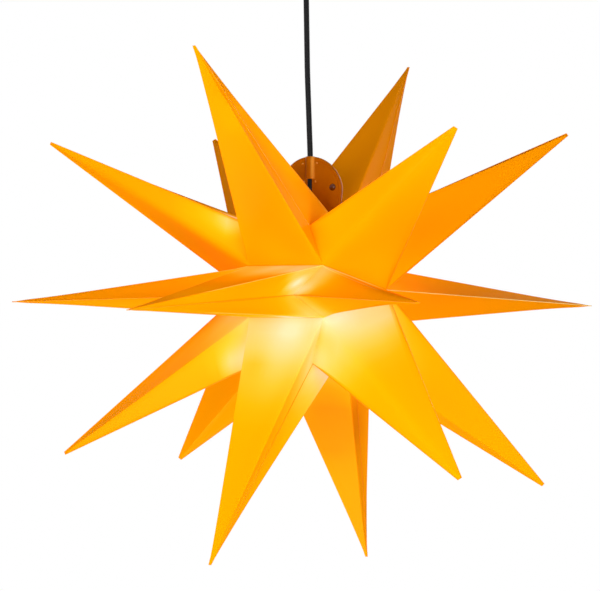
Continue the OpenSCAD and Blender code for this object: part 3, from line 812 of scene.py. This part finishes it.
# a flat slab from an outline, with a rim section of (inset, depth) pairs on its front
def slab(bm, outline, rimSection, bend, cell=3.0):
    count = len(outline)
    rings = []
    for inset, depth in rimSection:
        ring = []
        for i in range(count):
            a, b, c = [Vector(outline[(i + k) % count]) for k in (-1, 0, 1)]
            along = ((b - a).normalized() + (c - b).normalized()).normalized()
            inward = Vector((-along.y, along.x))
            p = b + inward * inset
            ring.append(bm.verts.new((p.x, depth, p.y)))
        rings.append(ring)
    skin(bm, rings)
    bm.faces.new(rings[0][::-1])
    bm.faces.new(rings[-1])
    xs = [v.co.x for v in bm.verts]
    zs = [v.co.z for v in bm.verts]
    for axis, low, high in (((1, 0, 0), min(xs), max(xs)), ((0, 0, 1), min(zs), max(zs))):
        at = low + cell
        while at < high - 0.5:
            spot = Vector(axis) * at
            everything = list(bm.verts) + list(bm.edges) + list(bm.faces)
            bmesh.ops.bisect_plane(bm, geom=everything, plane_co=spot, plane_no=axis)
            at += cell
    for v in bm.verts:
        v.co = bend(v.co)
    return bm


# the two plates that close the seam and grip the cable
plate = {
    "r": 32.0, "top": 125.0, "base": 31.0, "t": 1.2, "film": 0.05, "foot": 12.0,
    "channelR": 4.6, "channelL": 21.0, "boreR": 2.95,
    "curl": 0.0085, "curlFrom": 13.0, "curlRise": (62, 84),
    "rivetAt": (23.7, 29.5), "rivetHead": (3.2, 1.7), "rivetShank": 1.6,
    "pinsAt": ((7.6, 6.5), (5.8, 23.5)), "pinHead": (1.1, 0.75), "pinShank": 0.7,
    # the plates' orange is the sheets' orange darkened, with painted shade in it
    "amber": (0.58, 0.15, 0.0), "shade": (0.44, 0.11, 0.0),
    "channelHighlight": (0.98, 0.42, 0.05), "highlightAt": (0.0022, -0.0042, 0), "highlightEnds": (0.0006, 0.0028),
}


def plateMaterial():
    s = Shader("platePlastic")
    cloud = s.cloud(45, 3)
    fine = s.cloud(1500, 2)
    tone = s.blend(s.step(cloud, 0.3, 0.75), plate["amber"], plate["shade"])
    # a painted highlight: the channel's right side is painted a lighter orange
    gap = s.vector("SUBTRACT", (s.place(), onCable.translation + Vector(plate["highlightAt"])))
    axis = onCable.to_3x3().col[2].normalized()
    reach = s.vector("LENGTH", (s.vector("CROSS_PRODUCT", (gap, axis)),), 1)
    along = s.vector("DOT_PRODUCT", (gap, axis), 1)
    low = (plate["top"] - plate["channelL"]) * mm
    channel = (1 - s.step(reach, *plate["highlightEnds"])) * s.step(along, low - 0.0003, low + 0.0002)
    tone = s.blend(channel * 0.9, tone, plate["channelHighlight"])
    return s.plastic(
        Base_Color=tone,
        Roughness=0.30 + 0.10 * cloud,
        Normal=s.bump(fine, 0.00003),
        Specular_IOR_Level=0.06,
        Specular_Tint=(1.0, 0.5, 0.1, 1.0),
    )


def curled(x, z):
    past = max(0.0, abs(x) - plate["curlFrom"])
    return plate["curl"] * past * past * smooth(*plate["curlRise"], z)


def plateOutline():
    mid = plate["top"] - plate["r"]
    points = [(-plate["base"], seamZ + 0.3)]
    points += [
        (-plate["r"] * math.cos(math.radians(a)), mid + plate["r"] * math.sin(math.radians(a)))
        for a in np.linspace(-10, 190, 61)
    ]
    points.append((plate["base"], seamZ + 0.3))
    return points[::-1]


# half channel for the cable, with eased lips
def addChannel(bm, face):
    low, top = plate["top"] - plate["channelL"], plate["top"]
    lips = (
        (low, 0.5), (low + 0.25, 0.15), (low + 0.7, 0),
        (top - 0.7, 0), (top - 0.2, 0.15), (top, 0.5),
    )
    arc = [(math.cos(math.pi * k / 20), math.sin(math.pi * k / 20)) for k in range(21)]
    rings = []
    for z, give in lips:
        outer, bore = plate["channelR"] - give, plate["boreR"]
        ring = [(outer * x, outer * y) for x, y in arc]
        ring += [(bore * x, bore * y) for x, y in arc[::-1]]
        rings.append([bm.verts.new((x, face * y, z)) for x, y in ring])
    skin(bm, rings)
    for ring in (rings[0], rings[-1]):
        for i in range(20):
            bm.faces.new((ring[i], ring[i + 1], ring[40 - i], ring[41 - i]))


# foot along the sheet
def addFoot(bm, face, gore):
    t, half, reach = plate["t"], plate["base"] - 1, plate["foot"]
    q = aim(star["leans"][gore], gores[gore]) * (star["belt"] + star["tipOver"])
    slope = math.atan2(q.z - seamZ, abs(q.y - seamY))
    line = [(-half, 0), (-half, reach - 4), (-half + 1.2, reach - 1.2), (-half + 4, reach)]
    line += [(-x, y) for x, y in line[::-1]]

    def lean(p):
        along, up = p.z, p.y
        return Vector((
            p.x,
            face * (along * math.cos(slope) - up * math.sin(slope)),
            seamZ + along * math.sin(slope) + up * math.cos(slope),
        ))

    rimSection = [(0, plate["film"]), (0, t * 0.6), (0.3, t * 0.95), (0.8, t)]
    foot = slab(bmesh.new(), line[::-1], rimSection, lean)
    mesh = bpy.data.meshes.new("foot")
    foot.to_mesh(mesh)
    foot.free()
    bm.from_mesh(mesh)
    bpy.data.meshes.remove(mesh)


def buildPlate(name, face, gore, node):
    t, film = plate["t"], plate["film"]
    rimSection = [
        (0.0, film), (0.0, t * 0.9), (0.12, t * 1.35), (0.5, t * 1.62), (1.1, t * 1.72),
        (1.8, t * 1.62), (2.5, t * 1.3), (3.0, t * 1.06), (3.5, t),
    ]

    def lay(p):
        return Vector((p.x, face * p.y + curled(p.x, p.z), p.z))

    bm = slab(bmesh.new(), plateOutline(), rimSection, lay)
    addChannel(bm, face)
    addFoot(bm, face, gore)
    made = meshFrom(name, bm, onCable)
    addPiece(name, made, platePlastic, "star", (node,), 35)


def buildFasteners():
    t = plate["t"]

    # a domed head on both plates, on one shank
    def headed(bm, x, drop, head, shank):
        headR, headH = head
        z = plate["top"] - drop
        lift = curled(x, z)
        place = Matrix.Translation((x, lift, z)) @ Matrix.Rotation(math.pi / 2, 4, "X")
        arc = [math.radians(a) for a in range(0, 91, 15)]
        front = [(headR * math.cos(a), t + 0.05 + headH * math.sin(a)) for a in arc]
        back = [(r, -height) for r, height in front[::-1]]
        section = front[:-1] + [(0.001, t + 0.05 + headH), (0.001, -t - 0.05 - headH)] + back[1:]
        section += [(shank, -t - 0.05), (shank, t + 0.05)]
        turned(bm, section, 32, matrix=place)

    rivets, pins = bmesh.new(), bmesh.new()
    for side in (-1, 1):
        x, drop = plate["rivetAt"]
        headed(rivets, side * x, drop, plate["rivetHead"], plate["rivetShank"])
        for x, drop in plate["pinsAt"]:
            headed(pins, side * x, drop, plate["pinHead"], plate["pinShank"])
    rivets, pins = meshFrom("rivets", rivets, onCable), meshFrom("pins", pins, onCable)
    addPiece("seam_rivet_heads", rivets, rivetPlastic, "star", ("seam_rivets",))
    addPiece("seam_pin_heads", pins, pinPlastic, "star", ("seam_snap_pins",))


platePlastic = plateMaterial()
rivetPlastic = mouldedMaterial("rivetPlastic", (0.15, 0.03, 0.0), (0.10, 0.02, 0.0), 0.2)
pinPlastic = mouldedMaterial("pinPlastic", (0.80, 0.30, 0.02), (0.72, 0.25, 0.02), 0.18)
buildPlate("front_plate", -1, 1, "front_seam_plate")
buildPlate("rear_plate", 1, 2, "rear_seam_plate")
buildFasteners()
print("seam plates built")


# weld lines along each gore's outline, one piece to each gore
weld = {
    "r": 0.35, "sides": 8, "highlightGore": 3,
    "amber": (0.98, 0.31, 0.0), "lit": (0.06, 0.015, 0.0),
    "paleHighlight": (1.0, 0.62, 0.16), "highlightGlow": (0.10, 0.06, 0.01),
}


# a thin bead from a to b
def bead(bm, a, b):
    along = (b - a).normalized()
    rings = []
    for p in (a, b):
        up = (p - along * p.dot(along)).normalized()
        side = along.cross(up)
        ring = []
        for k in range(weld["sides"]):
            turn = 2 * math.pi * k / weld["sides"]
            way = up * math.cos(turn) + side * math.sin(turn)
            ring.append(bm.verts.new(p + way * weld["r"]))
        rings.append(ring)
    skin(bm, rings)
    bm.faces.new(rings[0][::-1])
    bm.faces.new(rings[-1])


def weldMaterial(name, colour, lit):
    s = Shader(name)
    cloud = s.cloud(160, 2)
    tone = s.blend(s.step(cloud, 0.3, 0.7), colour, [0.95 * c for c in colour])
    return s.plastic(
        Base_Color=tone,
        Roughness=0.34 + 0.1 * cloud,
        Emission_Color=s.blend(cloud, [0.8 * c for c in lit], lit),
        Emission_Strength=1.0,
        Specular_IOR_Level=0.1,
    )


def buildWelds():
    plain = weldMaterial("weldLine", weld["amber"], weld["lit"])
    # the welds of one gore are painted with a pale highlight
    paleHighlight = weldMaterial("paleHighlightWeldLine", weld["paleHighlight"], weld["highlightGlow"])
    for gore in range(6):
        corners = halves[2 * gore + 1].corners
        bm = bmesh.new()
        for i in range(9):
            bead(bm, corners[i], corners[i + 1])
        made = meshFrom("weld", bm, hung)
        material = paleHighlight if gore == weld["highlightGore"] else plain
        addPiece(f"weld_line_{gore + 1}", made, material, "star")


buildWelds()
print("weld lines laid")

# lamp holder and bulb, on the cable's line inside the star
holder = {
    "top": 52.5, "split": 40.5, "mouth": 9.0, "r": 14.0, "shellR": 7.0,
    "ribs": 24, "ribDeep": 0.35,
}
bulb = {
    "capR": 6.8, "capLow": 9.0, "capHigh": 26.95, "lead": 2.82, "thread": 0.38,
    "globeZ": -18.0, "globeR": 22.5, "wall": 1.2, "lip": 9.0,
}


def buildHolder():
    top, split, mouth, r = [holder[key] for key in ("top", "split", "mouth", "r")]
    cap = eased([
        (2.95, top), (6, top), (7.5, top - 1.5), (7.5, top - 4), (r - 1.5, split + 3.5),
        (r, split + 1.5), (r, split + 0.05), (r - 1.6, split + 0.05), (r - 2.6, split + 2.5),
        (4.45, top - 5), (2.95, top - 5),
    ], 0.5)
    made = meshFrom("cap", turned(bmesh.new(), cap, 72), onCable)
    addPiece("holder_cap_shell", made, blackPlastic, "star", ("holder_cap",))
    inside = holder["shellR"] + 0.5
    body = eased([
        (inside, mouth), (r - 1.2, mouth), (r - 0.4, mouth + 1.2), (r - 0.1, mouth + 3),
        (r, mouth + 18), (r, split - 8), (r, split), (r - 1.6, split), (r - 1.6, split - 8),
        (inside, split - 8),
    ], 0.3)

    def ribbed(radius, z, turn):
        if radius < r - 1.3 or not mouth + 2.9 < z < mouth + 18.2:
            return radius
        wave = holder["ribDeep"] * (math.cos(holder["ribs"] * turn) - 1)
        return radius + wave * smooth(0, 1.5, z - mouth - 2.9)

    made = meshFrom("body", turned(bmesh.new(), body, 192, ribbed), onCable)
    addPiece("holder_ribbed_body", made, blackPlastic, "star", ("holder_body",))


def buildBulb():
    low, high, r, lead = [bulb[key] for key in ("capLow", "capHigh", "capR", "lead")]
    rows = [low + 0.6 + (high - 2.4 - low) * k / 60 for k in range(61)]
    section = [(r - 0.5, rows[0] - 0.5), (r, rows[0] - 0.5)] + [(r, z) for z in rows]
    section += [(r - 1.4, high), (0.002, high), (0.002, high - 0.5)]
    section += [(r - 1.7, high - 0.6), (r - 0.5, high - 2.0)]

    def threaded(radius, z, turn):
        if radius < r - 0.1:
            return radius
        fade = smooth(low, low + 2, z) * smooth(high - 1.2, high - 3, z)
        wave = 0.5 - 0.5 * math.cos(2 * math.pi * z / lead - turn)
        return radius - bulb["thread"] * fade * wave

    made = meshFrom("cap", turned(bmesh.new(), section, 72, threaded), onCable)
    addPiece("bulb_threaded_cap", made, zinc, "bulb", ("bulb_screw_cap",), 50)
    lip = math.degrees(math.asin(bulb["lip"] / bulb["globeR"]))
    arc = [math.radians(a) for a in np.linspace(-90, lip, 40)]

    def bowl(radius, angles):
        low = bulb["globeZ"]
        return [(max(0.002, radius * math.cos(a)), low + radius * math.sin(a)) for a in angles]

    globe = bowl(bulb["globeR"], arc) + bowl(bulb["globeR"] - bulb["wall"], arc[::-1])
    made = meshFrom("globe", turned(bmesh.new(), globe, 72), onCable)
    addPiece("bulb_opal_globe", made, opal, "bulb", ("bulb_globe",), 40)


buildHolder()
buildBulb()
print("lamp built")


# ceiling rose, and the cable's ends above and below the free length
rose = {
    "cupOuter": (
        (38, 0), (38, -1.2), (37.2, -2.0), (36.5, -13.5),
        *((30 + 6 * math.cos(math.radians(a)), -21 - 6 * math.sin(math.radians(a)))
          for a in range(-5, 90, 12)),
        (28.5, -28.7), (27, -29.8), (25, -30),
    ),
    "cupInner": ((5.1, -30), (5.1, -28.2), (26, -28.2), (34.2, -20), (35.2, -2), (36.2, 0)),
    "grip": (
        (5, -22.2), (5, -30.05), (9.5, -30.05), (9.5, -34), (9.2, -34.6), (9.5, -35.2),
        (9.5, -47), (8.9, -49.4), (8.2, -50), (6.6, -50), (3.9, -44.6), (3.3, -44),
        (2.95, -44), (2.95, -22.2),
    ),
    "knurls": 36, "knurlDeep": 0.18, "bendZ": -44, "cableTop": -19, "cableLow": -41.05,
    "tailTop": 125, "tailLow": 49.5,
}


def buildRose():
    cup = eased(rose["cupOuter"] + rose["cupInner"], 0.5, 2)
    made = meshFrom("cup", turned(bmesh.new(), cup, 128), Matrix.Scale(mm, 4))
    addPiece("rose_cup", made, blackPlastic, "ceiling", ("ceiling_cup",))
    grip = eased(rose["grip"], 0.35)

    def knurled(radius, z, turn):
        if radius < 9.1 or not -46.5 < z < -35.4:
            return radius
        return radius + rose["knurlDeep"] * (math.cos(rose["knurls"] * turn) - 1)

    rows = []
    for (r1, z1), (r2, z2) in zip(grip, grip[1:] + grip[:1]):
        parts = 8 if abs(z1 - z2) > 5 and r1 > 9 else 1
        rows += [(r1 + (r2 - r1) * k / parts, z1 + (z2 - z1) * k / parts) for k in range(parts)]
    made = meshFrom("grip", turned(bmesh.new(), rows, 216, knurled), Matrix.Scale(mm, 4))
    addPiece("cord_grip_collar", made, blackPlastic, "ceiling", ("cord_grip",))


def between(a, b, parts):
    return [a + (b - a) * k / parts for k in range(parts + 1)]


def cableEnds():
    up = [(0, 0, z * mm) for z in between(rose["cableTop"], rose["cableLow"], 6)]
    top = tubeCurve("cord_in_rose", up, cable["radius"] * mm)
    down = [onCable @ Vector((0, 0, z)) for z in between(rose["tailTop"], rose["tailLow"], 12)]
    tail = tubeCurve("cord_in_star", down, cable["radius"] * mm)
    bm = bmesh.new()
    bmesh.ops.create_uvsphere(bm, u_segments=48, v_segments=32, radius=cable["radius"] * mm)
    ball = meshFrom("ball", bm, Matrix.Translation((0, 0, rose["bendZ"] * mm)))
    addPiece("cord_bend", ball, rubber, "cable_bend", ("cable_flex",))
    for piece, body, node in ((top, "ceiling", "cable_ceiling_end"), (tail, "star", "cable_tail")):
        piece.data.materials.append(rubber)
        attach(piece, body)
        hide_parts(node)


buildRose()
cableEnds()
print("rose built")

dressed = {
    "ceiling_bracket": zinc, "cup_side_screws": zinc, "cord_grip_nut": zinc,
    "holder_clamp_screw": zinc, "terminal_screws": brass, "holder_shell": brass,
    "holder_contact": brass, "bulb_foot_contact": brass, "terminal_block": whitePlastic,
    "cord_grip_screw": whitePlastic, "holder_insert": whitePlastic, "bulb_housing": whitePlastic,
    "bulb_insulator": blackPlastic, "rose_conductors": wireMaterial(),
    "bulb_led_board": boardMetal, "bulb_led_chips": phosphor, "bulb_driver": boardMaterial(),
}
dressed["holder_conductors"] = dressed["rose_conductors"]
for name, material in dressed.items():
    node = nodes[name]
    node.data.materials.clear()
    node.data.materials.append(material)
print("solids dressed")

# light and surroundings, with each box's name, place and watts
studio = {
    "world": 0.07, "floor": -2.4, "floorR": 3.6, "aim": (0, 0, -0.33), "boxSize": 0.45,
    "shadow": 0.25, "shadowEnds": (0.3, 1.8),
    "boxes": (
        ("leftSoftbox", (-0.528, -0.528, -0.265), 1.1),
        ("keySoftbox", (-0.256, -0.702, -0.265), 2.1),
        ("fillSoftbox", (0.27, -0.66, -0.37), 3.4),
        ("lowLeftSoftbox", (-0.312, 0.055, -1.010), 1.9),
        ("lowFrontSoftbox", (-0.265, -0.459, -0.86), 1.8),
        ("backRightSoftbox", (0.498, 0.498, -0.073), 1.7),
        ("lowRightSoftbox", (0.566, 0.100, -0.812), 0.7),
        ("backLeftSoftbox", (-0.50, 0.52, -0.12), 0.7),
        ("topSoftbox", (0.0, 0.0, 0.42), 0.6),
    ),
}


# rays that show the white surroundings without lighting anything by them
def seenRay(s):
    names = ("Is Camera Ray", "Is Glossy Ray", "Is Transmission Ray")
    seen, gloss, through = [s.node("ShaderNodeLightPath", out=name) for name in names]
    return seen.most(gloss).most(through)


def lightStudio():
    w = Shader("studioWorld", world=True)
    strength = studio["world"] + seenRay(w) * (1 - studio["world"])
    w.close(w.node("ShaderNodeBackground", {}, {"Color": (1, 1, 1, 1), "Strength": strength}))
    scene.world = w.owner
    for name, place, power in studio["boxes"]:
        data = bpy.data.lights.new(name, "AREA")
        data.shape, data.size, data.energy = "DISK", studio["boxSize"], power
        lit = bpy.data.objects.new(name, data)
        lit.location = place
        lit.visible_camera = False
        way = Vector(studio["aim"]) - Vector(place)
        lit.rotation_euler = way.to_track_quat("-Z", "Y").to_euler()
        scene.collection.objects.link(lit)


def layFloor():
    s = Shader("paleFloor")
    far = s.vector("LENGTH", (s.place(),), 1)
    matte = s.node("ShaderNodeBsdfDiffuse", {}, {"Color": (0.93, 0.93, 0.93, 1)})
    white = s.node("ShaderNodeEmission", {}, {"Strength": 1.0})
    shadow = studio["shadow"]
    fade = (1 - shadow + shadow * s.step(far, *studio["shadowEnds"])) * seenRay(s)
    s.close(s.node("ShaderNodeMixShader", {}, {0: fade, 1: matte, 2: white}))
    bm = bmesh.new()
    bmesh.ops.create_circle(bm, cap_ends=True, segments=96, radius=studio["floorR"])
    mesh = bpy.data.meshes.new("floor")
    bm.to_mesh(mesh)
    bm.free()
    floor = bpy.data.objects.new("floor", mesh)
    floor.location = (0, 0, studio["floor"])
    mesh.materials.append(s.owner)
    scene.collection.objects.link(floor)


lightStudio()
layFloor()
print("studio lit")
